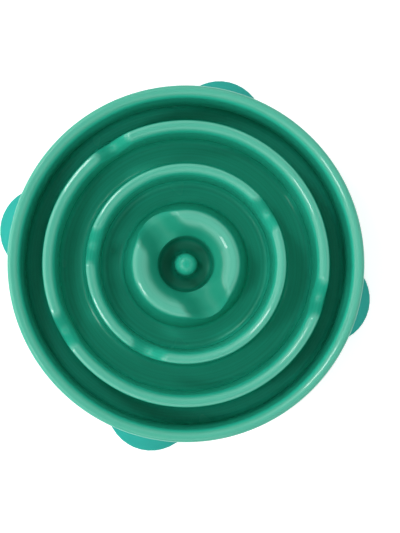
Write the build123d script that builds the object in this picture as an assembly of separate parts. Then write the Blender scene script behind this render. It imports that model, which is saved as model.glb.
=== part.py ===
from build123d import *

import os
from dataclasses import dataclass
from math import asin, atan2, cos, degrees, hypot, radians, tan

# Slow feeder bowl: a moulded tray of notched ring ridges that stands on four push-in soft feet.
# Frame: +Z up, origin on the ground under the middle of the bowl, one foot on each of +X, +Y, -X and -Y.
# All sizes are millimetres, and angles are degrees counted from +X towards +Y.

# The moulded tray
BOWL_HEIGHT = 57.0  # ground to the crest of the rim
FLOOR_HEIGHT = 12.0  # ground to the floor of the feeding channels
WALL = 2.2  # one wall thickness, followed by every fold of the tray
WALL_DRAFT = 3.0  # slope of the steep moulded walls
CREST_ROUNDING = 2.2  # along both edges of the rim's crest and of most ridges' crests
FLOOR_ROUNDING = 3.0  # where a channel's floor turns up into its wall

# Floor widths of the ring-shaped feeding channels, from the middle outwards
CENTRE_CHANNEL = 11.2
INNER_CHANNEL = 17.0
MIDDLE_CHANNEL = 20.0
OUTER_CHANNEL = 12.7

# Ridges between the channels: crest heights above the floor, and widths of the crests
INNER_RIDGE_HEIGHT = 37.0
MIDDLE_RIDGE_HEIGHT = 39.0
OUTER_RIDGE_HEIGHT = 40.0
INNER_CREST = 11.5
MIDDLE_CREST = 8.6
OUTER_CREST = 9.2
RIM_CREST = 9.1

# The inner ridge is a broad mound: its outward wall leans more, and a funnel leads down to its inward wall
INNER_RIDGE_OUTWARD_DRAFT = 12.0
INNER_RIDGE_OUTWARD_ROUNDING = 3.5
FUNNEL_RUN = 8.2  # width of the funnel, seen from above
FUNNEL_DROP = 12.5  # crest to the lower edge of the funnel
FUNNEL_EDGE_ROUNDING = 5.0

# Notches that let food pass from one channel to the next
NOTCH_DEPTH = 12.0  # crest to the bottom of a notch
NOTCH_DRAFT = 40.0  # lean of a notch's flanks
NOTCH_FLAT = 2.0  # level stretch at the bottom, along the ridge
NOTCH_FLOOR_ROUNDING = 5.0
NOTCH_SHOULDER_ROUNDING = 5.0
INNER_NOTCH_DEPTH = 14.0
INNER_NOTCH_FLAT = 5.0

# Post in the middle of the centre channel
POST_HEIGHT = 26.0  # above the channels' floor
POST_FLAT_RADIUS = 2.0
POST_CROWN_ROUNDING = 6.6

# Soft feet
FOOT_COUNT = 4
FOOT_REACH = 11.2  # how far a foot stands out from the lower edge of the skirt
FOOT_HALF_WIDTH = 36.0
FOOT_TIP_ROUNDING = 35.0  # radius of the tip, seen from above
FOOT_FLANK_SLOPE = 47.0  # slope of the flanks, seen from above
FOOT_CORNER_ROUNDING = 4.0
FOOT_TIP_THICKNESS = 6.0
FOOT_FLARE = 45.0  # slope by which a foot climbs from its tip to the skirt
SOLE_THICKNESS = 3.0  # rubber under the lower edge of the skirt
STEM_RADIUS = 2.2
STEM_LENGTH = 12.0
STEM_SPACING = 36.0  # between the two stems of one foot
BOSS_WALL = 2.2  # plastic round each stem
RIB_THICKNESS = 1.8  # rib that ties each boss to the walls beside it
FIT_GAP = 0.1  # between a foot and the skirt, and round each stem
STEM_END_GAP = 0.5  # above the end of a stem

# Cutters run this far past what they cut, and edges are told apart within this
OVERCUT = 5.0
TOLERANCE = 0.01


@dataclass
class Ridge:
    """A ring-shaped fold of the tray: two leaning walls under a flat crest."""

    channel: float  # floor width of the channel that it encloses
    height: float  # crest above the channels' floor
    crest_width: float
    inner_draft: float = WALL_DRAFT
    outer_draft: float = WALL_DRAFT
    inner_rounding: float = CREST_ROUNDING
    outer_rounding: float = CREST_ROUNDING
    funnel_run: float = 0.0
    funnel_drop: float = 0.0
    notch_depth: float = NOTCH_DEPTH
    notch_flat: float = NOTCH_FLAT
    notch_angles: tuple = ()
    inner_foot: float = 0.0  # radius where its inward face meets the floor, set by nested()

    @property
    def crest_height(self):
        return FLOOR_HEIGHT + self.height

    @property
    def notch_floor(self):
        return self.crest_height - self.notch_depth

    def inner_wall(self, height, inset=0.0):
        """Radius of the inward wall at a height, moved into the material by the inset."""
        slope = radians(self.inner_draft)
        return self.inner_foot + (height - FLOOR_HEIGHT) * tan(slope) + inset / cos(slope)

    def funnel(self, height, inset=0.0):
        """Radius of the funnel above the inward wall at a height, moved into the material by the inset."""
        lean = atan2(self.funnel_run, self.funnel_drop)
        lower_edge = self.crest_height - self.funnel_drop
        return self.inner_wall(lower_edge) + (height - lower_edge) * tan(lean) + inset / cos(lean)

    def inner_crest(self, height, inset=0.0):
        """Radius of the inward face at the height of the crest, moved into the material by the inset."""
        return self.funnel(height, inset) if self.funnel_drop else self.inner_wall(height, inset)

    def funnel_edge(self, inset):
        """Radius and height of the funnel's lower edge, moved into the material by the inset."""
        lower_edge = self.crest_height - self.funnel_drop
        gap = self.inner_wall(lower_edge, inset) - self.funnel(lower_edge, inset)
        lean = atan2(self.funnel_run, self.funnel_drop)
        height = lower_edge + gap / (tan(lean) - tan(radians(self.inner_draft)))
        return self.inner_wall(height, inset), height

    def outer_wall(self, height, inset=0.0):
        """Radius of the outward face at a height, moved into the material by the inset."""
        slope = radians(self.outer_draft)
        crest_edge = self.inner_crest(self.crest_height) + self.crest_width
        return crest_edge + (self.crest_height - height) * tan(slope) - inset / cos(slope)


def nested(radius, *ridges):
    """The ridges set one outside the other, where the innermost channel starts at the radius."""
    for ridge in ridges:
        ridge.inner_foot = radius + ridge.channel
        radius = ridge.outer_wall(FLOOR_HEIGHT)
    return ridges


def post_radius(height, inset=0.0):
    """Radius of the post's wall at a height, moved into the material by the inset."""
    slope = radians(WALL_DRAFT)
    crown = (POST_CROWN_ROUNDING - inset) * tan(radians((90 - WALL_DRAFT) / 2))
    top = FLOOR_HEIGHT + POST_HEIGHT - inset
    return POST_FLAT_RADIUS + crown + (top - height) * tan(slope)


INNER_RIDGE = Ridge(
    CENTRE_CHANNEL,
    INNER_RIDGE_HEIGHT,
    INNER_CREST,
    outer_draft=INNER_RIDGE_OUTWARD_DRAFT,
    outer_rounding=INNER_RIDGE_OUTWARD_ROUNDING,
    funnel_run=FUNNEL_RUN,
    funnel_drop=FUNNEL_DROP,
    notch_depth=INNER_NOTCH_DEPTH,
    notch_flat=INNER_NOTCH_FLAT,
    notch_angles=(143.0, 312.0),
)
MIDDLE_RIDGE = Ridge(INNER_CHANNEL, MIDDLE_RIDGE_HEIGHT, MIDDLE_CREST, notch_angles=(45.5, 183.0, 260.0))
OUTER_RIDGE = Ridge(MIDDLE_CHANNEL, OUTER_RIDGE_HEIGHT, OUTER_CREST, notch_angles=(359.0, 136.0, 222.5))
RIM = Ridge(OUTER_CHANNEL, BOWL_HEIGHT - FLOOR_HEIGHT, RIM_CREST)
RINGS = nested(post_radius(FLOOR_HEIGHT), INNER_RIDGE, MIDDLE_RIDGE, OUTER_RIDGE, RIM)
RIDGES = RINGS[:-1]

# Worked out from the sizes above
SKIRT_RADIUS = RIM.outer_wall(SOLE_THICKNESS)  # outside of the skirt at its lower edge
HOLLOW_OUTER = RIM.outer_wall(SOLE_THICKNESS, WALL)
HOLLOW_INNER = RIM.inner_wall(FLOOR_HEIGHT, WALL)
STEM_CIRCLE = (HOLLOW_OUTER + HOLLOW_INNER) / 2  # the stems stand in the middle of the hollow rim
STEM_ANGLE = degrees(asin(STEM_SPACING / 2 / STEM_CIRCLE))
BOSS_RADIUS = STEM_RADIUS + FIT_GAP + BOSS_WALL
BOSS_HEIGHT = STEM_LENGTH + STEM_END_GAP + BOSS_WALL
FOOT_TIP = SKIRT_RADIUS + FOOT_REACH
FOOT_HEEL = STEM_CIRCLE * cos(radians(STEM_ANGLE)) - BOSS_RADIUS - FOOT_CORNER_ROUNDING


def revolved(corners):
    """A solid of revolution about Z from (radius, height, rounding) corners of a closed section."""
    points = [(radius, height) for radius, height, _ in corners]
    roundings = [rounding for _, _, rounding in corners]
    section = Plane.XZ * make_face(FilletPolyline(*points, radius=roundings, close=True))
    return revolve(section, Axis.Z)


def tray_section(inset, base):
    """Corners of the tray's upper side moved into the wall by the inset, closed at the base height."""
    floor = FLOOR_HEIGHT - inset
    post_top = FLOOR_HEIGHT + POST_HEIGHT - inset
    corners = [
        (0, base, 0),
        (0, post_top, 0),
        (post_radius(post_top, inset), post_top, max(POST_CROWN_ROUNDING - inset, 0)),
        (post_radius(floor, inset), floor, FLOOR_ROUNDING),
    ]
    for ridge in RIDGES:
        crest = ridge.crest_height - inset
        corners.append((ridge.inner_wall(floor, inset), floor, FLOOR_ROUNDING))
        if ridge.funnel_drop:
            corners.append((*ridge.funnel_edge(inset), FUNNEL_EDGE_ROUNDING - inset))
        # The crests of the upper side are rounded later, with their notches
        corners += [
            (ridge.inner_crest(crest, inset), crest, 0),
            (ridge.outer_wall(crest, inset), crest, 0),
            (ridge.outer_wall(floor, inset), floor, FLOOR_ROUNDING),
        ]
    rim_crest = BOWL_HEIGHT - inset
    rim_rounding = max(CREST_ROUNDING - inset, 0)
    corners += [
        (RIM.inner_wall(floor, inset), floor, FLOOR_ROUNDING),
        (RIM.inner_wall(rim_crest, inset), rim_crest, rim_rounding),
        (RIM.outer_wall(rim_crest, inset), rim_crest, rim_rounding),
        (RIM.outer_wall(base, inset), base, 0),
    ]
    return corners


def notch_cutter(ridge, angle, grow):
    """What one notch takes out of a ridge, with every side of it moved outwards by grow."""
    slope = radians(NOTCH_DRAFT)
    rounding = NOTCH_FLOOR_ROUNDING + grow
    floor = ridge.notch_floor - grow
    top = ridge.crest_height + OVERCUT
    half_floor = ridge.notch_flat / 2 + rounding * tan(radians((90 - NOTCH_DRAFT) / 2))
    half_top = half_floor + (top - floor) * tan(slope)
    corners = [(-half_floor, floor), (half_floor, floor), (half_top, top), (-half_top, top)]
    section = make_face(FilletPolyline(*corners, radius=[rounding, rounding, 0, 0], close=True))
    start = ridge.inner_foot - ridge.channel / 2  # clear of the curved inward face
    across = Plane(origin=(start, 0, 0), x_dir=(0, 1, 0), z_dir=(1, 0, 0))
    return Rot(0, 0, angle) * extrude(across * section, ridge.outer_wall(FLOOR_HEIGHT) - start)


def notched(solid, grow):
    """The solid with every ridge's notches cut."""
    return solid - [notch_cutter(ridge, angle, grow) for ridge in RIDGES for angle in ridge.notch_angles]


def edges_on(solid, ridge):
    """The solid's edges that lie on the upper part of a ridge."""
    lowest = (FLOOR_HEIGHT + ridge.notch_floor) / 2

    def on_ridge(edge):
        middle = edge @ 0.5
        radius = hypot(middle.X, middle.Y)
        return middle.Z > lowest and ridge.inner_wall(lowest) < radius < ridge.outer_wall(lowest)

    return solid.edges().filter_by(on_ridge)


def rounded_ridges(blank):
    """The blank with the notches' shoulders rounded, and then both edges of each ridge's crest."""
    for ridge in RIDGES:
        shoulders = [
            edge
            for edge in edges_on(blank, ridge).filter_by(GeomType.LINE)
            if abs((edge @ 0.5).Z - ridge.crest_height) < TOLERANCE
        ]
        blank = fillet(shoulders, NOTCH_SHOULDER_ROUNDING)
    for ridge in RIDGES:
        middle = (ridge.inner_crest(ridge.crest_height) + ridge.outer_wall(ridge.crest_height)) / 2
        for side, rounding in ((-1, ridge.inner_rounding), (1, ridge.outer_rounding)):
            crest_edges = [
                edge
                for edge in edges_on(blank, ridge).filter_by(GeomType.LINE, reverse=True)
                if side * (hypot((edge @ 0.5).X, (edge @ 0.5).Y) - middle) > 0
            ]
            blank = fillet(crest_edges, rounding)
    return blank


def stem_places(feet=FOOT_COUNT):
    """Where the stems of the feet stand on the plane of the skirt's lower edge, X pointing outwards."""
    angles = [360 / FOOT_COUNT * foot + side * STEM_ANGLE for foot in range(feet) for side in (-1, 1)]
    return [Rot(0, 0, angle) * Pos(STEM_CIRCLE, 0, SOLE_THICKNESS) for angle in angles]


def upright(radius, height):
    """A cylinder that stands on its own lower face."""
    return Cylinder(radius, height, align=(Align.CENTER, Align.CENTER, Align.MIN))


def make_boss():
    """A boss that takes one stem, with a rib across the hollow rim above the level of the floor."""
    rib_base = FLOOR_HEIGHT - WALL - SOLE_THICKNESS
    rib_length = HOLLOW_OUTER - HOLLOW_INNER + 2 * WALL
    rib = Pos(0, 0, rib_base) * Box(
        rib_length,
        RIB_THICKNESS,
        BOSS_HEIGHT - rib_base,
        align=(Align.CENTER, Align.CENTER, Align.MIN),
    )
    return upright(BOSS_RADIUS, BOSS_HEIGHT) + rib


def make_bowl():
    """The tray: a blank of its upper side, less a blank that lies one wall below it."""
    blank = rounded_ridges(notched(revolved(tray_section(0, SOLE_THICKNESS)), 0))
    hollow = notched(revolved(tray_section(WALL, SOLE_THICKNESS - OVERCUT)), WALL)
    boss = make_boss()
    socket = upright(STEM_RADIUS + FIT_GAP, STEM_LENGTH + STEM_END_GAP)
    bosses = [place * boss for place in stem_places()]
    sockets = [place * socket for place in stem_places()]
    return blank - (hollow - bosses) - sockets


def foot_plan(heel, corner_rounding):
    """A foot's outline from above: a round tip, sloping flanks and a straight heel."""
    slope = radians(FOOT_FLANK_SLOPE)
    apex = FOOT_TIP + FOOT_TIP_ROUNDING * (1 / cos(slope) - 1)
    corner = apex - FOOT_HALF_WIDTH * tan(slope)
    points = [
        (apex, 0),
        (corner, FOOT_HALF_WIDTH),
        (heel, FOOT_HALF_WIDTH),
        (heel, -FOOT_HALF_WIDTH),
        (corner, -FOOT_HALF_WIDTH),
    ]
    return make_face(FilletPolyline(*points, radius=[FOOT_TIP_ROUNDING] + [corner_rounding] * 4, close=True))


def make_foot():
    """The foot on +X: a sole under the skirt, a flared toe outside it and two stems that push in."""
    sole = extrude(foot_plan(FOOT_HEEL, FOOT_CORNER_ROUNDING), FOOT_TIP_THICKNESS)
    climb = (FOOT_REACH + OVERCUT) / tan(radians(FOOT_FLARE))
    flare = extrude(Pos(0, 0, FOOT_TIP_THICKNESS) * foot_plan(0, 0), climb, taper=FOOT_FLARE)
    skirt = revolved(
        [
            (0, SOLE_THICKNESS, 0),
            (SKIRT_RADIUS + FIT_GAP, SOLE_THICKNESS, 0),
            (RIM.outer_wall(BOWL_HEIGHT) + FIT_GAP, BOWL_HEIGHT, 0),
            (0, BOWL_HEIGHT, 0),
        ]
    )
    stem = upright(STEM_RADIUS, STEM_LENGTH)
    return sole + flare - skirt + [place * stem for place in stem_places(feet=1)]


FOOT_NAMES = ("foot_right", "foot_back", "foot_left", "foot_front")


def main():
    os.makedirs("parts", exist_ok=True)
    export_step(make_bowl(), "parts/bowl.step")
    foot = make_foot()
    for number, name in enumerate(FOOT_NAMES):
        export_step(Rot(0, 0, 360 / FOOT_COUNT * number) * foot, f"parts/{name}.step")


main()
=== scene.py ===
# %% [markdown]
# # A slow feeder bowl
#
# This bowl makes a dog eat slowly. It is a maze of ring-shaped channels between tall ridges, and
# notches in the ridges join one channel to the next. The real bowl is a single moulding of glossy
# plastic that stands on four soft rubber feet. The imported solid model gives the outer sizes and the
# place of each piece, and this lesson rebuilds the pieces on the same spot, with softer forms and
# finished surfaces.

# %% Load the solid model
from dataclasses import dataclass
from math import asin, atan2, ceil, cos, pi, radians, sin, tan

import bmesh
import bpy
from mathutils import Matrix, Vector


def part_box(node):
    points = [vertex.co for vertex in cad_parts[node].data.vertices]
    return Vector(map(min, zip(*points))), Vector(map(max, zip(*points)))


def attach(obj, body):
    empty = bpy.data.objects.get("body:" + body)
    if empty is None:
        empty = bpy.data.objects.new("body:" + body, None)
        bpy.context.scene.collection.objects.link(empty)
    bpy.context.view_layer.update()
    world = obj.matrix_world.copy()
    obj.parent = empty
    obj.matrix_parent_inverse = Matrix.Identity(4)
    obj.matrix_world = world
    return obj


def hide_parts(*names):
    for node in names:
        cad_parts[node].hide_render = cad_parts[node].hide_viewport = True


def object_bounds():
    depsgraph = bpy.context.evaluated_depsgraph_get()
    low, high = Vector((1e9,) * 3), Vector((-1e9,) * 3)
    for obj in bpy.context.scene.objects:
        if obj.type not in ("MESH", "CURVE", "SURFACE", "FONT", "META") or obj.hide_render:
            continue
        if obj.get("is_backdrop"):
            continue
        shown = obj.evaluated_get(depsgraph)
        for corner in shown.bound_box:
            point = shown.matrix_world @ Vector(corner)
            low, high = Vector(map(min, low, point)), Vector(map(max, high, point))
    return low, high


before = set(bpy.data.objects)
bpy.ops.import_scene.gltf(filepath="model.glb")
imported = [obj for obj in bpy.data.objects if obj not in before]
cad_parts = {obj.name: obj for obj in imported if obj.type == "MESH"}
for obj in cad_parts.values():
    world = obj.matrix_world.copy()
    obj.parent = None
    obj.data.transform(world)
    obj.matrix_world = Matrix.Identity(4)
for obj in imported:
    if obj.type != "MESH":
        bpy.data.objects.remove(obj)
cad_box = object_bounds()
bowl_low, bowl_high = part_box("bowl")
foot_low, foot_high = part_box("foot_right")
print("solid model:", sorted(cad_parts))
print("skirt radius", round(bowl_high.x, 4), "rim height", round(bowl_high.z, 4))

# %% [markdown]
# ## Helpers for nodes and colours
#
# Shapes and finishes are both node trees here. Node by node, such code drowns in links, so one
# function adds a node, applies its settings and fills its inputs with values or links. Colours are
# written as the hex values that a designer would pick, and a second function turns them into the
# linear light that shaders work in.

# %% Add a node, and read a hex colour
MM = 0.001


def add_node(tree, kind, inputs=(), **settings):
    """Add a node, apply its settings, then set or link its inputs, given in order or by name."""
    node = tree.nodes.new(kind)
    for name, value in settings.items():
        setattr(node, name, value)
    sockets = [socket for socket in node.inputs if socket.enabled]
    if isinstance(inputs, dict):
        named = {socket.name: socket for socket in reversed(sockets)}
        pairs = [(named[name], value) for name, value in inputs.items()]
    else:
        pairs = zip(sockets, inputs)
    for socket, value in pairs:
        if isinstance(value, bpy.types.Node):
            value = next(output for output in value.outputs if output.enabled)
        if isinstance(value, bpy.types.NodeSocket):
            tree.links.new(value, socket)
        else:
            socket.default_value = value
    return node


def linear(hex_colour):
    """A colour written as #RRGGBB, as linear RGBA."""
    shares = [int(hex_colour[start : start + 2], 16) / 255 for start in (1, 3, 5)]
    return [s / 12.92 if s <= 0.04045 else ((s + 0.055) / 1.055) ** 2.4 for s in shares] + [1.0]


print("mid grey is", [round(share, 3) for share in linear("#808080")])

# %% [markdown]
# ## Gloss ABS
#
# The tray is ABS from a polished mould. ABS has an IOR near 1.5, so head-on it mirrors only some
# four percent of the light, and its gloss shows as soft bands. A moulded wall is never quite even:
# it shrinks a little more where it is thick, which makes slow waves in the reflections. The steel
# leaves faint turning rings and an orange peel, and the pigment flows in streaks that differ by a
# few percent. Round the middle the plastic is drawn darker, as painted shade of the funnel, and
# duller. The level crests are drawn paler, partly as rubbed plastic and partly as painted reflection
# of light from above, and much handling gives them a thin clear gleam, which is drawn as a coat.
# Noise in real sizes draws the mould's traces, and the height and the radius of a point say where
# the others lie.

# %% Traces of the mould and of use, painted shade and painted reflection
GREEN = "#26AE90"
GREEN_FLOW = "#21A78B"  # in the streaks of the flow
GREEN_TURNED = "#1B9478"  # in the turning rings
# painted shade in the funnel round the post
GREEN_PAINTED_SHADE = "#0C8D71"  # round the middle
# paler level crests: partly rubbed plastic, partly painted reflection of light from above
GREEN_RUBBED_AND_SHEEN = "#50AE95"  # on level crests: partly rubbed plastic, partly painted reflection of light from above
NOISE_RANGE = (0.3, 0.7)  # most values of a noise lie in here
RING_SPARED = 0.82  # share of the paler crest tone that a turning ring takes on
LEVEL_NORMAL = (0.7, 0.98)  # upward share of the normal, from a slope to a level crest
RUBBED_AND_SHEEN_HEIGHT = (44 * MM, 47 * MM)  # the paler crests set in between these
PAINTED_SHADE_START = (9 * MM, 13 * MM)  # the painted shade sets in between these radii, clear of the post
PAINTED_SHADE_END = (38 * MM, 50 * MM)  # and fades out between these


def new_finish(name):
    """An empty node material, its tree, and the piece's own coordinates in metres."""
    material = bpy.data.materials.new(name)
    material.use_nodes = True
    tree = material.node_tree
    tree.nodes.clear()
    return material, tree, add_node(tree, "ShaderNodeTexCoord").outputs["Object"]


def painted_shade_share(tree, radius):
    """How far a point lies in the painted shade round the middle, from 0 to 1."""
    start = add_node(tree, "ShaderNodeMapRange", [radius, *PAINTED_SHADE_START, 0.0, 1.0])
    end = add_node(tree, "ShaderNodeMapRange", [radius, *PAINTED_SHADE_END, 1.0, 0.0])
    return add_node(tree, "ShaderNodeMath", [start, end], operation="MULTIPLY")


def rubbed_and_sheen_share(tree, height, turned_rings):
    """How pale a point is drawn, from 0 to 1: on level crests, partly as rubbed plastic and partly as
    painted reflection, and less so in turning rings.
    """
    normal = add_node(tree, "ShaderNodeNewGeometry").outputs["Normal"]
    upward = add_node(tree, "ShaderNodeSeparateXYZ", [normal]).outputs["Z"]
    level = add_node(tree, "ShaderNodeMapRange", [upward, *LEVEL_NORMAL, 0.0, 1.0])
    high = add_node(tree, "ShaderNodeMapRange", [height, *RUBBED_AND_SHEEN_HEIGHT, 0.0, 1.0])
    crests = add_node(tree, "ShaderNodeMath", [level, high], operation="MULTIPLY")
    spared = add_node(tree, "ShaderNodeMapRange", [turned_rings, *NOISE_RANGE, 1.0, RING_SPARED])
    return add_node(tree, "ShaderNodeMath", [crests, spared], operation="MULTIPLY")


print("greens:", GREEN, GREEN_FLOW, GREEN_TURNED, GREEN_PAINTED_SHADE, GREEN_RUBBED_AND_SHEEN)

# %% Gloss ABS for the tray
FLOW_STREAK = 70 * MM
SHRINK_WAVE = 22 * MM
WAVE_HEIGHT = 0.25 * MM
TURNING_RING = 1.8 * MM  # real rings are nearer 0.1 mm, drawn coarser so that they show
RING_HEIGHT = 0.015 * MM
RING_SHADE = 0.55  # share of the darker green in a ring
ORANGE_PEEL = 1.6 * MM  # real peel is nearer 0.5 mm, drawn coarser so that it shows
PEEL_HEIGHT = 0.02 * MM
POLISHED_HEIGHT = (18 * MM, 30 * MM)  # the polish of the channel floors ends between these
FLOOR_ROUGHNESS = 0.23
CREST_ROUGHNESS = 0.29
WAVE_ROUGHNESS = 0.06  # added on the waves
PAINTED_SHADE_ROUGHNESS = 0.25  # added round the middle, where the painted shade lies
GLEAM_HEIGHT = (40 * MM, 47 * MM)  # the clear gleam sets in between these
GLEAM = 0.5


def gloss_abs():
    """Injection-moulded ABS: clear gloss, gently waved, with traces of its mould and its use, painted
    shade round the middle and painted reflection on the crests.
    """
    material, tree, place = new_finish("gloss_abs")
    height = add_node(tree, "ShaderNodeSeparateXYZ", [place]).outputs["Z"]
    flat = add_node(tree, "ShaderNodeVectorMath", [place, (1.0, 1.0, 0.0)], operation="MULTIPLY")
    radius = add_node(tree, "ShaderNodeVectorMath", [flat], operation="LENGTH").outputs["Value"]
    flow = add_node(
        tree,
        "ShaderNodeTexNoise",
        {"Vector": place, "Scale": 1 / FLOW_STREAK, "Detail": 4.0, "Distortion": 1.2},
    )
    wave = add_node(
        tree, "ShaderNodeTexNoise", {"Vector": place, "Scale": 1 / SHRINK_WAVE, "Detail": 1.0}
    )
    peel = add_node(
        tree, "ShaderNodeTexNoise", {"Vector": place, "Scale": 1 / ORANGE_PEEL, "Detail": 2.0}
    )
    turned_rings = add_node(
        tree,
        "ShaderNodeTexNoise",
        {"W": radius, "Scale": 1 / TURNING_RING, "Detail": 2.0},
        noise_dimensions="1D",
    )
    shade = add_node(tree, "ShaderNodeMapRange", [turned_rings, *NOISE_RANGE, 0.0, RING_SHADE])
    # painted shade in the funnel round the post
    painted_shade = painted_shade_share(tree, radius)
    # paler level crests: partly rubbed plastic, partly painted reflection of light from above
    rubbed_and_sheen = rubbed_and_sheen_share(tree, height, turned_rings)
    colour = linear(GREEN)
    for share, tone in (
        (flow, GREEN_FLOW),
        (shade, GREEN_TURNED),
        (painted_shade, GREEN_PAINTED_SHADE),
        (rubbed_and_sheen, GREEN_RUBBED_AND_SHEEN),
    ):
        colour = add_node(
            tree, "ShaderNodeMix", {"Factor": share, "A": colour, "B": linear(tone)}, data_type="RGBA"
        )
    relief = add_node(
        tree, "ShaderNodeBump", {"Strength": 1.0, "Distance": WAVE_HEIGHT, "Height": wave}
    )
    for strength, distance, pattern in ((1.0, RING_HEIGHT, turned_rings), (0.35, PEEL_HEIGHT, peel)):
        relief = add_node(
            tree,
            "ShaderNodeBump",
            {"Strength": strength, "Distance": distance, "Height": pattern, "Normal": relief},
        )
    roughness = add_node(
        tree, "ShaderNodeMapRange", [height, *POLISHED_HEIGHT, FLOOR_ROUGHNESS, CREST_ROUGHNESS]
    )
    for share, more in ((wave, WAVE_ROUGHNESS), (painted_shade, PAINTED_SHADE_ROUGHNESS)):
        roughness = add_node(tree, "ShaderNodeMath", [share, more, roughness], operation="MULTIPLY_ADD")
    gleam = add_node(tree, "ShaderNodeMapRange", [height, *GLEAM_HEIGHT, 0.0, GLEAM])
    surface = add_node(
        tree,
        "ShaderNodeBsdfPrincipled",
        {
            "Base Color": colour,
            "Roughness": roughness,
            "IOR": 1.54,
            "Specular IOR Level": 0.3,  # below the usual 0.5, because use has dulled the gloss
            "Normal": relief,
            "Coat Weight": gleam,
            "Coat Roughness": 0.06,
            "Coat Normal": relief,
        },
    )
    add_node(tree, "ShaderNodeOutputMaterial", {"Surface": surface})
    return material


tray_finish = gloss_abs()
print("finish:", tray_finish.name, len(tray_finish.node_tree.nodes), "nodes")

# %% [markdown]
# ## Soft rubber
#
# The feet are thermoplastic rubber, which is moulded with a spark-eroded grain so that it grips.
# It takes the same pigment a touch bluer, scatters its gloss widely, and looks dry next to ABS.

# %% Thermoplastic rubber for the feet
RUBBER = "#20A598"
RUBBER_WORN = "#30AA9D"
RUBBER_GRAIN = 0.9 * MM  # real grain is about 0.2 mm, drawn coarser so that it shows
GRAIN_HEIGHT = 0.08 * MM
RUBBER_BLOOM = 18 * MM  # size of its pale patches
RUBBER_ROUGHNESS = (0.48, 0.62)  # from clean rubber to a patch of bloom


def soft_rubber():
    """Thermoplastic rubber with a spark-eroded grain and a faint pale bloom."""
    material, tree, place = new_finish("soft_rubber")
    bloom = add_node(
        tree, "ShaderNodeTexNoise", {"Vector": place, "Scale": 1 / RUBBER_BLOOM, "Detail": 5.0}
    )
    grain = add_node(
        tree, "ShaderNodeTexNoise", {"Vector": place, "Scale": 1 / RUBBER_GRAIN, "Detail": 3.0}
    )
    colour = add_node(
        tree,
        "ShaderNodeMix",
        {"Factor": bloom, "A": linear(RUBBER), "B": linear(RUBBER_WORN)},
        data_type="RGBA",
    )
    relief = add_node(
        tree, "ShaderNodeBump", {"Strength": 0.5, "Distance": GRAIN_HEIGHT, "Height": grain}
    )
    roughness = add_node(tree, "ShaderNodeMapRange", [bloom, *NOISE_RANGE, *RUBBER_ROUGHNESS])
    surface = add_node(
        tree,
        "ShaderNodeBsdfPrincipled",
        {
            "Base Color": colour,
            "Roughness": roughness,
            "IOR": 1.48,
            "Specular IOR Level": 0.1,  # the grain swallows most of the gloss
            "Normal": relief,
        },
    )
    add_node(tree, "ShaderNodeOutputMaterial", {"Surface": surface})
    return material


foot_finish = soft_rubber()
print("finish:", foot_finish.name, len(foot_finish.node_tree.nodes), "nodes")

# %% [markdown]
# ## The tray's section
#
# Cut through the middle, the tray is one long line: a post, three ridges, a rim and a skirt, folded
# from a wall of even thickness. Before any modelling it pays to write that line down as corners with
# roundings, as a mould maker would. Walls lean by a few degrees so that the moulding leaves its mould.
# Each crest has its crown towards the outside. Inwards it falls away gently and turns softly into the
# wall, and outwards it is a narrow, steeper facet, which mirrors a lamp as a thin streak.

# %% Rings of the tray, from the middle outwards
FLOOR = 12 * MM  # ground to the floor of the channels
WALL = 2.2 * MM
STEEP = radians(3)  # lean of most walls
FLOOR_ROUNDING = 4.5 * MM
INWARD_ROUNDING = 6.8 * MM  # of a crest's edge on the side of the post
OUTWARD_ROUNDING = 1.5 * MM
INWARD_SLOPE = radians(6)  # of a crest, from its crown towards the post
OUTWARD_SLOPE = radians(14)
CROWN_ROUNDING = 2 * MM
CROWN_SHIFT = 2 * MM  # outwards from the middle of the crest


@dataclass
class Ring:
    """One ring-shaped fold of the tray, placed by the radius where its outer wall meets the floor."""

    channel: float  # floor width of the channel inside it
    crest: float  # height of the crest above the ground
    width: float  # of the crest, from wall to wall
    outer_lean: float = STEEP
    inner_rounding: float = INWARD_ROUNDING
    outer_rounding: float = OUTWARD_ROUNDING
    funnel_run: float = 0.0  # width of a funnel on the inward side, seen from above
    funnel_drop: float = 0.0  # crest to the lower edge of that funnel
    outer_foot: float = 0.0

    @property
    def crest_outside(self):
        return self.outer_foot - (self.crest - FLOOR) * tan(self.outer_lean)

    @property
    def crest_inside(self):
        return self.crest_outside - self.width

    @property
    def funnel_edge(self):
        return self.crest_inside - self.funnel_run, self.crest - self.funnel_drop

    @property
    def inner_foot(self):
        radius, height = self.funnel_edge
        return radius - (height - FLOOR) * tan(STEEP)

    @property
    def inner_lean(self):
        return atan2(self.funnel_run, self.funnel_drop) if self.funnel_drop else STEEP


inner_ridge = Ring(
    channel=11.2 * MM,
    crest=49 * MM,
    width=11.5 * MM,
    outer_lean=radians(12),
    inner_rounding=14 * MM,
    outer_rounding=4 * MM,
    funnel_run=8.2 * MM,
    funnel_drop=12.5 * MM,
)
middle_ridge = Ring(channel=17 * MM, crest=51 * MM, width=8.6 * MM)
outer_ridge = Ring(channel=20 * MM, crest=52 * MM, width=9.2 * MM)
rim = Ring(channel=12.7 * MM, crest=bowl_high.z, width=9.1 * MM, outer_rounding=3 * MM)
rings = [inner_ridge, middle_ridge, outer_ridge, rim]

# The skirt's radius comes from the solid model, and each ring is set inside the next
next_foot = bowl_high.x - (FLOOR - bowl_low.z) * tan(STEEP)
for ring in reversed(rings):
    ring.outer_foot = next_foot
    next_foot = ring.inner_foot - ring.channel
post_foot = next_foot
print("rings from", [round(ring.inner_foot, 4) for ring in rings], "post", round(post_foot, 4))

# %% Corners of the section, each with its rounding
POST_TOP = 38 * MM
POST_CROWN = 7.4 * MM  # rounding of the post's top
FUNNEL_ROUNDING = 7 * MM
LIP_ROUNDING = 0.6 * MM  # on the skirt's lower edge


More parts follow.
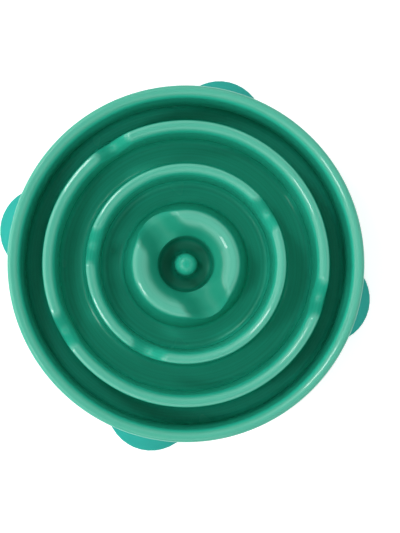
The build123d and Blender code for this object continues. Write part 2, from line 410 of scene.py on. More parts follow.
def crest_corners(ring):
    """The inward edge, the crown and the outward edge of a ring's crest."""
    lift = CROWN_ROUNDING * (1 / cos((INWARD_SLOPE + OUTWARD_SLOPE) / 2) - 1)
    crown = (ring.crest_inside + ring.crest_outside) / 2 + CROWN_SHIFT

    def edge(side, radius, lean, slope, rounding):
        run = abs(radius - crown)
        fall = (run * tan(slope) - lift) / (1 - tan(lean) * tan(slope))
        return (radius + side * fall * tan(lean), ring.crest - fall, rounding)

    return [
        edge(-1, ring.crest_inside, ring.inner_lean, INWARD_SLOPE, ring.inner_rounding),
        (crown, ring.crest + lift, CROWN_ROUNDING),
        edge(1, ring.crest_outside, ring.outer_lean, OUTWARD_SLOPE, ring.outer_rounding),
    ]


post_shoulder = post_foot - (POST_TOP - FLOOR) * tan(STEEP)
upper_side = [
    (0, POST_TOP, 0),
    (post_shoulder, POST_TOP, POST_CROWN),
    (post_foot, FLOOR, FLOOR_ROUNDING),
]
for ring in rings:
    upper_side.append((ring.inner_foot, FLOOR, FLOOR_ROUNDING))
    if ring.funnel_drop:
        upper_side.append((*ring.funnel_edge, FUNNEL_ROUNDING))
    upper_side += crest_corners(ring)
    if ring is not rim:
        upper_side.append((ring.outer_foot, FLOOR, FLOOR_ROUNDING))
upper_side.append((bowl_high.x, bowl_low.z, LIP_ROUNDING))
print(len(upper_side), "corners on the upper side")

# %% [markdown]
# The underside is the same line one wall thickness lower. Each corner moves square to both of its
# sides, and its rounding grows by the wall where the fold opens upwards and shrinks by it where the
# fold opens downwards, so the wall keeps its thickness round every bend.

# %% The underside, one wall below
SHARPEST = 0.3 * MM  # least rounding of an edge


def one_wall_below(corners):
    """The corners moved down into the wall by its thickness."""
    points = [Vector(corner[:2]) for corner in corners]
    sides = [(end - start).normalized() for start, end in zip(points, points[1:])]
    inwards = [Vector((side.y, -side.x)) for side in sides]
    moved = [(0, points[0].y - WALL, 0)]
    for number in range(1, len(points) - 1):
        before, after = inwards[number - 1], inwards[number]
        place = points[number] + (before + after) * WALL / (1 + before.dot(after))
        opens_up = sides[number - 1].cross(sides[number]) > 0
        rounding = corners[number][2] + (WALL if opens_up else -WALL)
        moved.append((place.x, place.y, max(rounding, SHARPEST)))
    lip = points[-1].x - WALL / cos(STEEP)
    return moved + [(lip, points[-1].y, LIP_ROUNDING)]


under_side = one_wall_below(upper_side)
print("floor of the underside at", round(under_side[2][1], 4))

# %% [markdown]
# The whole line becomes a mesh of bare edges. Its points carry the values that the sweep below reads:
# how round the corner is, how many steps the rounding gets, how long a run may be, and how deep the
# point lies in the wall. The underside is hidden most of the time, so it gets fewer steps.

# %% A line of edges that carries the section
UPPER_STEP = radians(15)  # turn of one step of a rounding
UNDER_STEP = radians(90)
UPPER_RUN = 12 * MM  # longest stretch without a point
UNDER_RUN = 60 * MM
LIP_STEPS = 3


def arc_steps(corners, step):
    """How many steps each corner's rounding gets, from how far the line turns there."""
    points = [Vector(corner[:2]) for corner in corners]
    sides = [end - start for start, end in zip(points, points[1:])]
    turns = [start.angle(end) for start, end in zip(sides, sides[1:])]
    return [0] + [ceil(turn / step) for turn in turns] + [LIP_STEPS]


def section_object():
    """The section as an object: x is the radius and z the height."""
    corners = upper_side + under_side[::-1]
    mesh = bpy.data.meshes.new("tray_section")
    points = [(radius, 0, height) for radius, height, _ in corners]
    mesh.from_pydata(points, [(number, number + 1) for number in range(len(points) - 1)], [])
    columns = {
        "rounding": ("FLOAT", [rounding for _, _, rounding in corners]),
        "steps": ("INT", arc_steps(upper_side, UPPER_STEP) + arc_steps(under_side, UNDER_STEP)[::-1]),
        "longest_run": ("FLOAT", [UPPER_RUN] * len(upper_side) + [UNDER_RUN] * len(under_side)),
        "inset": ("FLOAT", [0.0] * len(upper_side) + [WALL] * len(under_side)),
    }
    for name, (kind, values) in columns.items():
        mesh.attributes.new(name, kind, "POINT").data.foreach_set("value", values)
    made = bpy.data.objects.new("tray_section", mesh)
    bpy.context.scene.collection.objects.link(made)
    return made


section = section_object()
print("section with", len(section.data.vertices), "corners")

# %% [markdown]
# ## Notches
#
# A notch is a saddle in a ridge: the crest dips, and both walls stay where they are and only end
# lower. Cutting it with a boolean would leave sharp rims to bevel. Since the tray is swept from one
# line, it is cleaner to move its points: near a notch the crest sinks along a smooth step that is
# rounded off at the bottom, and each wall is squeezed down below it. One node group holds that rule,
# and each ridge uses it once with its own sizes. Distances are measured square to the notch, which
# keeps its sides parallel.

# %% A node group that sinks one ridge's notches
NOTCH_LEAN = radians(40)  # of a notch's sides, from upright


def new_tree(name, inputs, outputs):
    """A geometry node tree with named sockets, and the sockets to read from and to write to."""
    tree = bpy.data.node_groups.new(name, "GeometryNodeTree")
    for way, sockets in (("INPUT", inputs), ("OUTPUT", outputs)):
        for label, kind in sockets.items():
            tree.interface.new_socket(label, in_out=way, socket_type=f"NodeSocket{kind}")
    return tree, tree.nodes.new("NodeGroupInput").outputs, tree.nodes.new("NodeGroupOutput").inputs


def notched_ridge():
    """Group that gives the notched radius and height of a point, from its place on the plain sweep."""
    numbers = (
        "Radius, Height, Turn, Inset, First Notch, Second Notch, Third Notch, Wall Start, "
        "Crest Start, Crest, Crest Inside, Crest Outside, Reach, Inner Slope, Outer Slope, "
        "Depth, Wall Share, Start, Half Width, Bottom Rounding, Arch"
    )
    inputs = dict.fromkeys(numbers.split(", "), "Float")
    tree, size, result = new_tree("notched ridge", inputs, {"Radius": "Float", "Height": "Float"})
    nearest = pi
    for label in ("First Notch", "Second Notch", "Third Notch"):
        away = add_node(tree, "ShaderNodeMath", [size["Turn"], size[label]], operation="SUBTRACT")
        wrapped = add_node(tree, "ShaderNodeMath", [away, pi, -pi], operation="WRAP")
        apart = add_node(tree, "ShaderNodeMath", [wrapped], operation="ABSOLUTE")
        nearest = add_node(tree, "ShaderNodeMath", [apart, nearest], operation="MINIMUM")
    facing = add_node(tree, "ShaderNodeMath", [nearest, pi / 2], operation="MINIMUM")
    sine = add_node(tree, "ShaderNodeMath", [facing], operation="SINE")
    across = add_node(tree, "ShaderNodeMath", [size["Radius"], sine], operation="MULTIPLY")
    # The bottom of a notch is round, so the distance from its middle is rounded off near zero
    legs = add_node(tree, "ShaderNodeCombineXYZ", {"X": across, "Y": size["Bottom Rounding"]})
    across = add_node(tree, "ShaderNodeVectorMath", [legs], operation="LENGTH").outputs["Value"]
    # Below the wall the notch is wider, by what keeps its leaning sides one wall thick
    widen = -tan(pi / 4 - NOTCH_LEAN / 2)
    across = add_node(tree, "ShaderNodeMath", [size["Inset"], widen, across], operation="MULTIPLY_ADD")
    dip = add_node(
        tree,
        "ShaderNodeMapRange",
        [across, size["Start"], size["Half Width"], size["Depth"], 0.0],
        interpolation_type="SMOOTHSTEP",
    )
    # The wall takes its share of the dip little by little, and the zone of the crest takes the rest
    level = add_node(tree, "ShaderNodeMath", [size["Height"], size["Inset"]], operation="ADD")
    wall = add_node(
        tree,
        "ShaderNodeMapRange",
        [level, size["Wall Start"], size["Crest Start"], 0.0, size["Wall Share"]],
    )
    rest = add_node(tree, "ShaderNodeMath", [1.0, size["Wall Share"]], operation="SUBTRACT")
    top = add_node(tree, "ShaderNodeMapRange", [level, size["Crest Start"], size["Crest"], 0.0, rest])
    share = add_node(tree, "ShaderNodeMath", [wall, top], operation="ADD")
    edges = [size["Crest Inside"], size["Crest Outside"]]
    middle = add_node(tree, "ShaderNodeMath", edges, operation="ADD")
    middle = add_node(tree, "ShaderNodeMath", [middle, 0.5], operation="MULTIPLY")
    own = add_node(tree, "ShaderNodeMath", [size["Radius"], middle, size["Reach"]], operation="COMPARE")
    # Across the ridge the notch is arched, so both edges of its floor sink further than the middle
    offset = add_node(tree, "ShaderNodeMath", [size["Radius"], middle], operation="SUBTRACT")
    span = add_node(tree, "ShaderNodeMath", [size["Crest Outside"], middle], operation="SUBTRACT")
    aside = add_node(tree, "ShaderNodeMath", [offset, span], operation="DIVIDE")
    square = add_node(tree, "ShaderNodeMath", [aside, aside], operation="MULTIPLY")
    square = add_node(tree, "ShaderNodeMath", [square, 1.0], operation="MINIMUM")
    arched = add_node(tree, "ShaderNodeMath", [square, size["Arch"], 1.0], operation="MULTIPLY_ADD")
    sink = add_node(tree, "ShaderNodeMath", [dip, share], operation="MULTIPLY")
    sink = add_node(tree, "ShaderNodeMath", [sink, arched], operation="MULTIPLY")
    sink = add_node(tree, "ShaderNodeMath", [sink, own], operation="MULTIPLY")
    slope = add_node(
        tree, "ShaderNodeMapRange", [size["Radius"], *edges, size["Inner Slope"], size["Outer Slope"]]
    )
    radius = add_node(tree, "ShaderNodeMath", [sink, slope, size["Radius"]], operation="MULTIPLY_ADD")
    height = add_node(tree, "ShaderNodeMath", [size["Height"], sink], operation="SUBTRACT")
    tree.links.new(radius.outputs[0], result["Radius"])
    tree.links.new(height.outputs[0], result["Height"])
    return tree


ridge_group = notched_ridge()
print("group:", ridge_group.name, len(ridge_group.nodes), "nodes")

# %% Sizes of the notches
INNER_TURNS = (143, 312, 143)  # two notches in this ridge, so the third repeats the first
MIDDLE_TURNS = (45.5, 183, 260)
OUTER_TURNS = (359, 136, 222.5)
ARCH_FALL = 1.5 * MM  # of a notch's floor, from the middle of the ridge to its edges
INNER_NOTCHES = {
    "crest_zone": 14 * MM,  # crest to the upper end of the walls
    "wall_share": 0.1,  # of the dip that the walls take, the crest zone taking the rest
    "depth": 15.5 * MM,
    "start": 5 * MM,  # rounded distance from a notch's middle at which its side starts to rise
    "half_width": 22 * MM,  # and at which it reaches the crest
    "bottom_rounding": 8 * MM,
}
OTHER_NOTCHES = {
    "crest_zone": 5 * MM,
    "wall_share": 1.0,
    "depth": 17.5 * MM,
    "start": -1 * MM,
    "half_width": 17.5 * MM,
    "bottom_rounding": 6 * MM,
}


def notch_sizes(ring, turns, crest_zone, wall_share, depth, start, half_width, bottom_rounding):
    """Input values of the notched ridge group for one ring, with its notches' turns in degrees."""
    first, second, third = [radians(turn) for turn in turns]
    return {
        "First Notch": first,
        "Second Notch": second,
        "Third Notch": third,
        "Wall Start": FLOOR + FLOOR_ROUNDING,
        "Crest Start": ring.crest - crest_zone,
        "Crest": ring.crest,
        "Crest Inside": ring.crest_inside,
        "Crest Outside": ring.crest_outside,
        "Reach": (ring.outer_foot - ring.inner_foot) / 2 + 2 * FLOOR_ROUNDING,
        "Inner Slope": -tan(STEEP),
        "Outer Slope": tan(ring.outer_lean),
        "Depth": depth,
        "Wall Share": wall_share,
        "Start": start,
        "Half Width": half_width,
        "Bottom Rounding": bottom_rounding,
        "Arch": ARCH_FALL / depth,
    }


notched_ridges = [
    notch_sizes(inner_ridge, INNER_TURNS, **INNER_NOTCHES),
    notch_sizes(middle_ridge, MIDDLE_TURNS, **OTHER_NOTCHES),
    notch_sizes(outer_ridge, OUTER_TURNS, **OTHER_NOTCHES),
]
print("notched ridges:", len(notched_ridges))

# %% [markdown]
# ## Bosses for the feet
#
# Each foot has two stems, and each stem pushes into a hollow boss under the rim. A thin rib ties the
# boss to the walls on both sides. The boss is drawn once as a turned shape, and the tray's tree sets
# eight copies of it round the rim.

# %% One boss, turned from its outline
STEM_RADIUS = 2.2 * MM
STEM_LENGTH = 12 * MM
STEM_SPACING = 36 * MM
FIT_GAP = 0.1 * MM
SOCKET_SPARE = 0.5 * MM  # of a socket's depth, past the end of the stem
SOCKET_CHAMFER = 0.4 * MM
BOSS_WALL = 2.2 * MM
RIB = 1.8 * MM
BOSS_FACETS = 40
WELD = 0.001 * MM  # points of a turned shape nearer than this are one

hollow_outside = bowl_high.x - WALL / cos(STEEP)
hollow_inside = rim.inner_foot + WALL / cos(STEEP)
stem_circle = (hollow_outside + hollow_inside) / 2
stem_turn = asin(STEM_SPACING / 2 / stem_circle)
socket_radius = STEM_RADIUS + FIT_GAP
boss_radius = socket_radius + BOSS_WALL
socket_top = STEM_LENGTH + SOCKET_SPARE
boss_top = socket_top + BOSS_WALL


def turned(form, outline, facets):
    """Add a solid turned about Z, from (radius, height) points that start and end on the axis."""
    line = [form.verts.new((radius, 0, height)) for radius, height in outline]
    edges = [form.edges.new(pair) for pair in zip(line, line[1:])]
    bmesh.ops.spin(form, geom=line + edges, axis=(0, 0, 1), angle=2 * pi, steps=facets)
    bmesh.ops.remove_doubles(form, verts=form.verts, dist=WELD)
    bmesh.ops.recalc_face_normals(form, faces=form.faces)


def block(form, low, high):
    """Add a box between two corners."""
    size = [b - a for a, b in zip(low, high)]
    middle = [(a + b) / 2 for a, b in zip(low, high)]
    place = Matrix.LocRotScale(Vector(middle), None, Vector(size))
    bmesh.ops.create_cube(form, size=1, matrix=place)


def new_object(name, form):
    """The form as an object in the scene."""
    mesh = bpy.data.meshes.new(name)
    form.to_mesh(mesh)
    form.free()
    made = bpy.data.objects.new(name, mesh)
    bpy.context.scene.collection.objects.link(made)
    return made


def boss_object():
    """A boss with its socket, standing on its own lower end, and the rib across the hollow rim."""
    outline = [
        (0, socket_top),
        (socket_radius, socket_top),
        (socket_radius, SOCKET_CHAMFER),
        (socket_radius + SOCKET_CHAMFER, 0),
        (boss_radius, 0),
        (boss_radius, boss_top),
        (0, boss_top),
    ]
    form = bmesh.new()
    turned(form, outline, BOSS_FACETS)
    reach = (hollow_outside - hollow_inside) / 2 + WALL / 2
    rib_low = FLOOR - WALL - bowl_low.z
    block(form, (boss_radius - WALL, -RIB / 2, rib_low), (reach, RIB / 2, boss_top))
    block(form, (-reach, -RIB / 2, rib_low), (WALL - boss_radius, RIB / 2, boss_top))
    return new_object("stem_boss", form)


boss = boss_object()
print("boss with", len(boss.data.polygons), "faces at radius", round(stem_circle, 4))

# %% [markdown]
# ## Sweeping the tray
#
# Spinning the section in steps would be enough for a plain bowl. Here the sweep is a node tree, so
# the notches can move its points by rule. The section's corners are rounded, long runs are divided,
# and the line is carried round a circle. All notches lie near an eighth of a turn or a multiple of
# it, so the steps round the circle crowd together there and spread out in between, which puts detail
# where it is needed. The copies that coincide on the axis are merged, so both poles are closed.

# %% The tree that sweeps the tray
NOTCH_GRID = 8  # parts of a turn at which the steps crowd together
POLE_WELD = 0.0005 * MM  # points of the sweep nearer than this are one


def circle_path(tree, steps, crowding):
    """A circle whose points carry their turn, in steps that crowd at each part of the notch grid."""
    circle = add_node(tree, "GeometryNodeCurvePrimitiveCircle", {"Resolution": steps})
    index = add_node(tree, "GeometryNodeInputIndex")
    share = add_node(tree, "ShaderNodeMath", [index, steps], operation="DIVIDE")
    even = add_node(tree, "ShaderNodeMath", [share, 2 * pi], operation="MULTIPLY")
    wave = add_node(tree, "ShaderNodeMath", [even, NOTCH_GRID], operation="MULTIPLY")
    sine = add_node(tree, "ShaderNodeMath", [wave], operation="SINE")
    pull = add_node(tree, "ShaderNodeMath", [crowding, -1 / NOTCH_GRID], operation="MULTIPLY")
    turn = add_node(tree, "ShaderNodeMath", [sine, pull, even], operation="MULTIPLY_ADD")
    return add_node(
        tree, "GeometryNodeStoreNamedAttribute", {"Geometry": circle, "Name": "turn", "Value": turn}
    )


def rounded_section(tree, section_line):
    """The section as a curve with rounded corners, whose points carry their radius and height."""
    line = add_node(tree, "GeometryNodeMeshToCurve", [section_line])
    steps = add_node(tree, "GeometryNodeInputNamedAttribute", {"Name": "steps"}, data_type="INT")
    rounding = add_node(tree, "GeometryNodeInputNamedAttribute", {"Name": "rounding"})
    curve = add_node(
        tree,
        "GeometryNodeFilletCurve",
        {"Curve": line, "Count": steps, "Radius": rounding, "Limit Radius": True},
        mode="POLY",
    )
    here = add_node(tree, "GeometryNodeInputPosition")
    index = add_node(tree, "GeometryNodeInputIndex")
    following = add_node(tree, "ShaderNodeMath", [index, 1.0], operation="ADD")
    there = add_node(
        tree, "GeometryNodeFieldAtIndex", {"Index": following, "Value": here}, data_type="FLOAT_VECTOR"
    )
    run = add_node(tree, "ShaderNodeVectorMath", [here, there], operation="DISTANCE")
    longest = add_node(tree, "GeometryNodeInputNamedAttribute", {"Name": "longest_run"})
    runs = add_node(tree, "ShaderNodeMath", [run, longest], operation="DIVIDE")
    cuts = add_node(tree, "ShaderNodeMath", [runs], operation="FLOOR")
    curve = add_node(tree, "GeometryNodeSubdivideCurve", {"Curve": curve, "Cuts": cuts})
    parts = add_node(tree, "ShaderNodeSeparateXYZ", [here])
    for name, axis in (("ring_radius", "X"), ("ring_height", "Z")):
        curve = add_node(
            tree,
            "GeometryNodeStoreNamedAttribute",
            {"Geometry": curve, "Name": name, "Value": parts.outputs[axis]},
        )
    return curve


def boss_ring(tree, boss_input, circle, turn, count):
    """Copies of the boss in pairs, one pair to each foot, on the skirt's lower edge."""
    index = add_node(tree, "GeometryNodeInputIndex")
    half = add_node(tree, "ShaderNodeMath", [index, 0.5], operation="MULTIPLY")
    foot = add_node(tree, "ShaderNodeMath", [half], operation="FLOOR")
    side = add_node(tree, "ShaderNodeMath", [half], operation="FRACT")
    side = add_node(tree, "ShaderNodeMath", [side, 4.0, -1.0], operation="MULTIPLY_ADD")
    aside = add_node(tree, "ShaderNodeMath", [side, turn], operation="MULTIPLY")
    angle = add_node(tree, "ShaderNodeMath", [foot, pi / 2, aside], operation="MULTIPLY_ADD")
    out = add_node(tree, "ShaderNodeCombineXYZ", {"X": circle, "Z": bowl_low.z})
    place = add_node(
        tree, "ShaderNodeVectorRotate", {"Vector": out, "Angle": angle}, rotation_type="Z_AXIS"
    )
    points = add_node(tree, "GeometryNodePoints", {"Count": count, "Position": place})
    facing = add_node(tree, "ShaderNodeCombineXYZ", {"Z": angle})
    source = add_node(tree, "GeometryNodeObjectInfo", {"Object": boss_input})
    return add_node(
        tree,
        "GeometryNodeInstanceOnPoints",
        {"Points": points, "Instance": source.outputs["Geometry"], "Rotation": facing},
    )


def tray_tree():
    """The tree that turns the section into the notched tray with its bosses."""
    inputs = {
        "Section": "Geometry",
        "Turn Steps": "Int",
        "Crowding": "Float",
        "Boss": "Object",
        "Boss Count": "Int",
        "Stem Circle": "Float",
        "Stem Turn": "Float",
    }
    tree, size, result = new_tree("moulded tray", inputs, {"Tray": "Geometry"})
    path = circle_path(tree, size["Turn Steps"], size["Crowding"])
    line = rounded_section(tree, size["Section"])
    swept = add_node(tree, "GeometryNodeCurveToMesh", {"Curve": path, "Profile Curve": line})
    radius, height, turn, inset = [
        add_node(tree, "GeometryNodeInputNamedAttribute", {"Name": name})
        for name in ("ring_radius", "ring_height", "turn", "inset")
    ]
    radius, height = radius.outputs[0], height.outputs[0]
    for sizes in notched_ridges:
        moving = {"Radius": radius, "Height": height, "Turn": turn, "Inset": inset}
        ridge = add_node(tree, "GeometryNodeGroup", node_tree=ridge_group)
        for label, value in (moving | sizes).items():
            if isinstance(value, float):
                ridge.inputs[label].default_value = value
            else:
                source = value.outputs[0] if isinstance(value, bpy.types.Node) else value
                tree.links.new(source, ridge.inputs[label])
        radius, height = ridge.outputs["Radius"], ridge.outputs["Height"]
    out = add_node(tree, "ShaderNodeCombineXYZ", {"X": radius, "Z": height})
    place = add_node(
        tree, "ShaderNodeVectorRotate", {"Vector": out, "Angle": turn}, rotation_type="Z_AXIS"
    )
    placed = add_node(tree, "GeometryNodeSetPosition", {"Geometry": swept, "Position": place})
    closed = add_node(tree, "GeometryNodeMergeByDistance", {"Geometry": placed, "Distance": POLE_WELD})
    smooth = add_node(tree, "GeometryNodeSetShadeSmooth", {"Geometry": closed})
    bosses = boss_ring(tree, size["Boss"], size["Stem Circle"], size["Stem Turn"], size["Boss Count"])
    whole = add_node(tree, "GeometryNodeJoinGeometry", [smooth])
    tree.links.new(bosses.outputs[0], whole.inputs[0])
    real = add_node(tree, "GeometryNodeRealizeInstances", [whole])
    coloured = add_node(tree, "GeometryNodeSetMaterial", {"Geometry": real, "Material": tray_finish})
    tree.links.new(coloured.outputs[0], result["Tray"])
    return tree


sweep = tray_tree()
print("tree:", sweep.name, len(sweep.nodes), "nodes")

# %% Sweep it and keep the plain mesh
TURN_STEPS = 480
CROWDING = 0.6  # 0 for even steps, below 1
FOOT_NAMES = ["foot_right", "foot_back", "foot_left", "foot_front"]


def finished_mesh(source, name):
    """What the object's modifiers make of it, as a new object at the origin that takes its place."""
    graph = bpy.context.evaluated_depsgraph_get()
    mesh = bpy.data.meshes.new_from_object(source.evaluated_get(graph), depsgraph=graph)
    mesh.name = name
    source.modifiers.clear()
    bpy.data.objects.remove(source)
    made = bpy.data.objects.new(name, mesh)
    bpy.context.scene.collection.objects.link(made)
    return made


modifier = section.modifiers.new("sweep", "NODES")
modifier.node_group = sweep
values = {
    "Turn Steps": TURN_STEPS,
    "Crowding": CROWDING,
    "Boss": boss,
    "Boss Count": 2 * len(FOOT_NAMES),
    "Stem Circle": stem_circle,
    "Stem Turn": stem_turn,
}
for socket in sweep.interface.items_tree:
    if socket.name in values:
        modifier[socket.identifier] = values[socket.name]
section.modifiers.new("even_shading", "WEIGHTED_NORMAL")
tray = finished_mesh(section, "moulded_tray")
bpy.data.objects.remove(boss)
for name in ("ring_radius", "ring_height", "turn", "inset", "rounding", "steps", "longest_run"):
    if name in tray.data.attributes:
        tray.data.attributes.remove(tray.data.attributes[name])
tray.data.calc_loop_triangles()
print("tray:", len(tray.data.vertices), "points", len(tray.data.loop_triangles), "triangles")

# %% [markdown]
# ## The soft feet
#
# From above each foot is a low lobe that peeps out from under the rim: a round tip, two straight
# flanks, and a wide sole that runs under the skirt. From the side it climbs from a thin toe to the
# skirt at a slope. The outline is drawn once with its insets, and the foot is a stack of such
# outlines: a rounded lower edge, an upright toe, a rounded brow and the slope. A boolean then takes
# away the room that the skirt needs, which gives an exact fit all along it.

# %% The outline of a foot at one level
FOOT_HALF_WIDTH = 36 * MM
TIP_ROUNDING = 35 * MM
FLANK_SLOPE = radians(47)  # of a flank, from square to the foot's length
CORNER_ROUNDING = 4 * MM
ARC_STEPS = 10


def rounded(corners):
    """Points round a closed outline, with an arc at each (x, y, rounding) corner."""
    points = []
    for number, (x, y, rounding) in enumerate(corners):
        corner = Vector((x, y))
        before = (Vector(corners[number - 1][:2]) - corner).normalized()
        after = (Vector(corners[(number + 1) % len(corners)][:2]) - corner).normalized()
        half = before.angle(after) / 2
        centre = corner + (before + after).normalized() * rounding / sin(half)
        start = corner + before * rounding / tan(half) - centre
        turn = start.angle_signed(corner + after * rounding / tan(half) - centre)
        for step in range(ARC_STEPS + 1):
            spoke = Matrix.Rotation(-turn * step / ARC_STEPS, 2) @ start
            points.append(centre + spoke)
    return points


def foot_outline(inset, heel):
    """The outline of a foot on +X, moved in by the inset, with its heel at a given radius."""
    apex = foot_high.x + TIP_ROUNDING * (1 / cos(FLANK_SLOPE) - 1) - inset / cos(FLANK_SLOPE)
    width = FOOT_HALF_WIDTH - inset
    flank_end = apex - width * tan(FLANK_SLOPE)
    tight = max(CORNER_ROUNDING - inset, SHARPEST)
    return rounded(
        [
            (apex, 0, TIP_ROUNDING - inset),
            (flank_end, width, tight),
            (heel, width, tight),
            (heel, -width, tight),
            (flank_end, -width, tight),
        ]
    )


print(len(foot_outline(0, foot_low.x)), "points in a foot's outline")

# %% Stack the outlines, cut the skirt's room and add the stems
TOE = 6 * MM  # height of the upright tip
SOLE_EDGE = 1 * MM
BROW_ROUNDING = 2.5 * MM
FLARE = radians(45)  # of the slope above the toe, from upright
EDGE_STEPS = 4
BROW_STEPS = 6
SKIRT_FACETS = 360
STEM_FACETS = 32
STEM_SINK = 1 * MM
STEM_BEVEL = 0.6 * MM


def foot_levels():
    """Height and inset of each level of a foot, from its sole to well above the skirt's edge."""
    levels = []
    for step in range(EDGE_STEPS + 1):
        angle = step / EDGE_STEPS * pi / 2
        levels.append((SOLE_EDGE * (1 - cos(angle)), SOLE_EDGE * (1 - sin(angle))))
    brow_start = TOE - BROW_ROUNDING * tan(FLARE / 2)
    for step in range(BROW_STEPS + 1):
        angle = step / BROW_STEPS * FLARE
        levels.append((brow_start + BROW_ROUNDING * sin(angle), BROW_ROUNDING * (1 - cos(angle))))
    climb = foot_high.x - bowl_high.x + 2 * SOLE_EDGE
    return levels + [(TOE + climb / tan(FLARE), climb)]


def stacked_foot():
    """The foot on +X as a stack of outlines, before the skirt's room is cut."""
    form = bmesh.new()
    rows = []
    for height, inset in foot_levels():
        heel = foot_low.x + inset if height < SOLE_EDGE else foot_low.x - inset
        rows.append([form.verts.new((x, y, height)) for x, y in foot_outline(inset, heel)])
    for low, high in zip(rows, rows[1:]):
        for near, far, far_up, near_up in zip(low, low[1:] + low[:1], high[1:] + high[:1], high):
            form.faces.new((near, far, far_up, near_up))
    form.faces.new(rows[0])
    form.faces.new(rows[-1])
    bmesh.ops.recalc_face_normals(form, faces=form.faces)
    return new_object("stacked_foot", form)


def skirt_room():
    """The space inside the skirt, with the fit's gap."""
    form = bmesh.new()
    outline = [
        (0, bowl_low.z),
        (bowl_high.x + FIT_GAP, bowl_low.z),
        (rim.crest_outside + FIT_GAP, rim.crest),
        (0, rim.crest),
    ]
    turned(form, outline, SKIRT_FACETS)
    return new_object("skirt_room", form)


def stem_pair():
    """The two stems of the foot on +X, each with a bevelled end, sunk a little into the sole."""
    outline = [
        (0, -STEM_SINK),
        (STEM_RADIUS, -STEM_SINK),
        (STEM_RADIUS, STEM_LENGTH - STEM_BEVEL),
        (STEM_RADIUS - STEM_BEVEL, STEM_LENGTH),
        (0, STEM_LENGTH),
    ]
    form = bmesh.new()
    for side in (-1, 1):
        part = bmesh.new()
        turned(part, outline, STEM_FACETS)
        out = Matrix.Translation((stem_circle, 0, bowl_low.z))
        part.transform(Matrix.Rotation(side * stem_turn, 4, "Z") @ out)
        mesh = bpy.data.meshes.new("stem")
        part.to_mesh(mesh)
        part.free()
        form.from_mesh(mesh)
        bpy.data.meshes.remove(mesh)
    return new_object("stem_pair", form)


foot = stacked_foot()
for operation, other in (("DIFFERENCE", skirt_room()), ("UNION", stem_pair())):
    fit = foot.modifiers.new(operation.lower(), "BOOLEAN")
    fit.operation = operation
    fit.solver = "EXACT"
    fit.object = other
    foot = finished_mesh(foot, "fitted_foot")
    bpy.data.objects.remove(other)
print("foot:", len(foot.data.vertices), "points", len(foot.data.polygons), "faces")

# %% Four feet from one
SHARP_EDGE = radians(32)  # a sharper turn than this is shaded as an edge

foot.data.materials.clear()
foot.data.materials.append(foot_finish)
foot.data.shade_smooth()
foot.data.set_sharp_from_angle(angle=SHARP_EDGE)
feet = {}
for number, name in enumerate(FOOT_NAMES):
    mesh = foot.data.copy()
    mesh.transform(Matrix.Rotation(number * pi / 2, 4, "Z"))
    feet[name] = bpy.data.objects.new(f"soft_{name}", mesh)
    bpy.context.scene.collection.objects.link(feet[name])
bpy.data.objects.remove(foot)
print("feet:", [piece.name for piece in feet.values()])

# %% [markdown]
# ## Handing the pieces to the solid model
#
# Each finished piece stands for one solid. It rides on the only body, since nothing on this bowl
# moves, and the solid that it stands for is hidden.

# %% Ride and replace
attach(tray, "root")
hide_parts("bowl")
for name, piece in feet.items():
    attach(piece, "root")
    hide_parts(name)
print("pieces:", 1 + len(feet))

# %% [markdown]
# ## The studio
#
# The bowl is seen from almost straight above, on white. Directions are written as the picture shows
# them, right and up, and turned into the model's own axes once. A ring of soft lamps at mid height
# lights the bowl from all sides, a little more from the left and from below in the picture. A low
# window at the left brightens the walls that face it, and two small, strong lamps draw the thin
# streaks on the crests. Straight overhead stays dark, as it is where a camera hangs, so the channel
# floors keep their depth.

# %% The picture's axes
PICTURE_TURN = radians(13.6)  # the picture's right, counted from +X

right = Vector((cos(PICTURE_TURN), sin(PICTURE_TURN), 0))
up = Vector((-sin(PICTURE_TURN), cos(PICTURE_TURN), 0))
rim_centre = Vector((0, 0, bowl_high.z))


def facing(place, target, upwards):
    """The matrix that sets a lamp or camera at a place, looking at the target."""
    back = (place - target).normalized()
    side = upwards.cross(back).normalized()
    turn = Matrix((side, back.cross(side), back)).transposed()
    return Matrix.Translation(place) @ turn.to_4x4()


print("picture right is", [round(share, 3) for share in right])

# %% A pale floor that keeps the shadow
FLOOR_SIZE = 6.0
FLOOR_PAINT = "#EDEDED"
FLOOR_LIFT = 0.55
WHITE = "#FFFFFF"


def white_floor():
    """A white floor: lit as matt paint, and lifted to white where the camera or a mirror sees it."""
    material, tree, _ = new_finish("white_floor")
    paint = add_node(tree, "ShaderNodeBsdfDiffuse", {"Color": linear(FLOOR_PAINT)})
    rays = add_node(tree, "ShaderNodeLightPath")
    seen = rays.outputs["Is Camera Ray"]
    for kind in ("Is Glossy Ray", "Is Transmission Ray"):
        seen = add_node(tree, "ShaderNodeMath", [seen, rays.outputs[kind]], operation="ADD")
    lift = add_node(tree, "ShaderNodeMath", [seen, FLOOR_LIFT], operation="MULTIPLY")
    glow = add_node(tree, "ShaderNodeEmission", {"Color": linear(WHITE), "Strength": lift})
    both = add_node(tree, "ShaderNodeAddShader", [paint, glow])
    add_node(tree, "ShaderNodeOutputMaterial", {"Surface": both})
    return material


form = bmesh.new()
bmesh.ops.create_grid(form, x_segments=1, y_segments=1, size=FLOOR_SIZE / 2)
floor = new_object("studio_floor", form)
floor.data.materials.append(white_floor())
floor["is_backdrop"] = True
print("floor", FLOOR_SIZE, "m wide")

# %% Lamps and world
LAMP_DISTANCE = 1.3
RING_LAMPS = 8
RING_GLOW = 1.25
MORE_LEFT = 0.3  # glow that the ring's right side loses and its left side gains
MORE_BELOW = 0.18  # and that its upper side loses and its lower side gains
STREAK_LAMPS = (138, 208)  # directions in the picture, counted from its right
WALL_TOP = (0.05, 0.5)  # upward share of a direction, between the white walls and the dark ceiling
CEILING_GLOW = 0.06


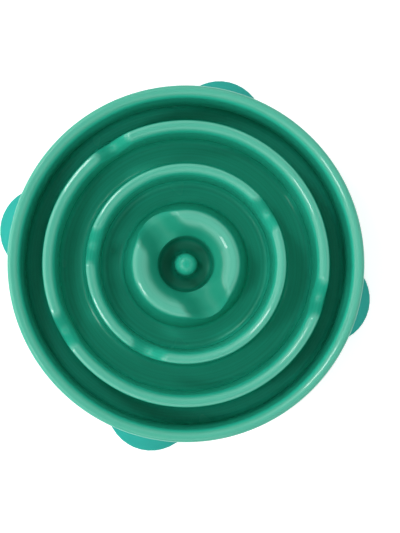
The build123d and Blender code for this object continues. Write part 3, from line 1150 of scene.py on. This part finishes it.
def softbox(name, azimuth, zenith, width, depth, glow):
    """A soft lamp in a direction of the picture, at an angle from overhead. A glow of 1 is white."""
    lamp = bpy.data.lights.new(name, "AREA")
    lamp.shape = "RECTANGLE"
    lamp.size = width
    lamp.size_y = depth
    lamp.energy = glow * pi * width * depth
    outwards = right * cos(radians(azimuth)) + up * sin(radians(azimuth))
    ray = outwards * sin(radians(zenith)) + Vector((0, 0, cos(radians(zenith))))
    made = bpy.data.objects.new(name, lamp)
    made.matrix_world = facing(rim_centre + ray * LAMP_DISTANCE, rim_centre, Vector((0, 0, 1)))
    bpy.context.scene.collection.objects.link(made)


for number in range(RING_LAMPS):
    azimuth = 360 / RING_LAMPS * number
    leftward = -cos(radians(azimuth))
    downward = -sin(radians(azimuth))
    glow = RING_GLOW + MORE_LEFT * leftward + MORE_BELOW * downward
    softbox(f"ring_{number}", azimuth, zenith=50, width=0.75, depth=0.85, glow=glow)
softbox("window", azimuth=175, zenith=74, width=1.1, depth=0.3, glow=3.0)
for azimuth in STREAK_LAMPS:
    softbox(f"strip_{azimuth}", azimuth, zenith=35, width=0.22, depth=0.3, glow=15)


def studio_world():
    """White walls near the ground that fade to a dark ceiling."""
    world = bpy.data.worlds.new("studio")
    world.use_nodes = True
    tree = world.node_tree
    tree.nodes.clear()
    direction = add_node(tree, "ShaderNodeTexCoord").outputs["Generated"]
    height = add_node(tree, "ShaderNodeSeparateXYZ", [direction]).outputs["Z"]
    level = add_node(tree, "ShaderNodeMapRange", [height, *WALL_TOP, 1.0, CEILING_GLOW])
    light = add_node(tree, "ShaderNodeBackground", {"Color": linear(WHITE), "Strength": level})
    add_node(tree, "ShaderNodeOutputWorld", {"Surface": light})
    return world


bpy.context.scene.world = studio_world()

# %% The camera above the bowl
CAMERA_HEIGHT = 1.2  # above the rim
PICTURE_WIDTH = 306 * MM  # of the rim's plane, across the frame
SENSOR_WIDTH = 36.0
AIM_RIGHT = 10.4 * MM  # these four are counted from the rim's centre, as the picture shows it
AIM_DOWN = 2.6 * MM
STAND_LEFT = 19 * MM
STAND_DOWN = 38 * MM

lens = bpy.data.cameras.new("camera")
lens.sensor_fit = "HORIZONTAL"
lens.sensor_width = SENSOR_WIDTH
lens.lens = SENSOR_WIDTH * CAMERA_HEIGHT / PICTURE_WIDTH
camera = bpy.data.objects.new("camera", lens)
aim = rim_centre + right * AIM_RIGHT - up * AIM_DOWN
stand = rim_centre - right * STAND_LEFT - up * STAND_DOWN + Vector((0, 0, CAMERA_HEIGHT))
camera.matrix_world = facing(stand, aim, up)
bpy.context.scene.collection.objects.link(camera)
bpy.context.scene.camera = camera
bpy.context.scene.view_settings.view_transform = "Standard"
print("lens", round(lens.lens, 1), "mm")

# %% [markdown]
# ## Sizes
#
# The finished pieces may not outgrow the solid model, so both boxes are written down side by side
# before the frame is checked.

# %% Write both boxes and finish
boxes = {"cad": cad_box, "visual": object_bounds()}
for name, box in boxes.items():
    print(name, [[round(value, 4) for value in corner] for corner in box])
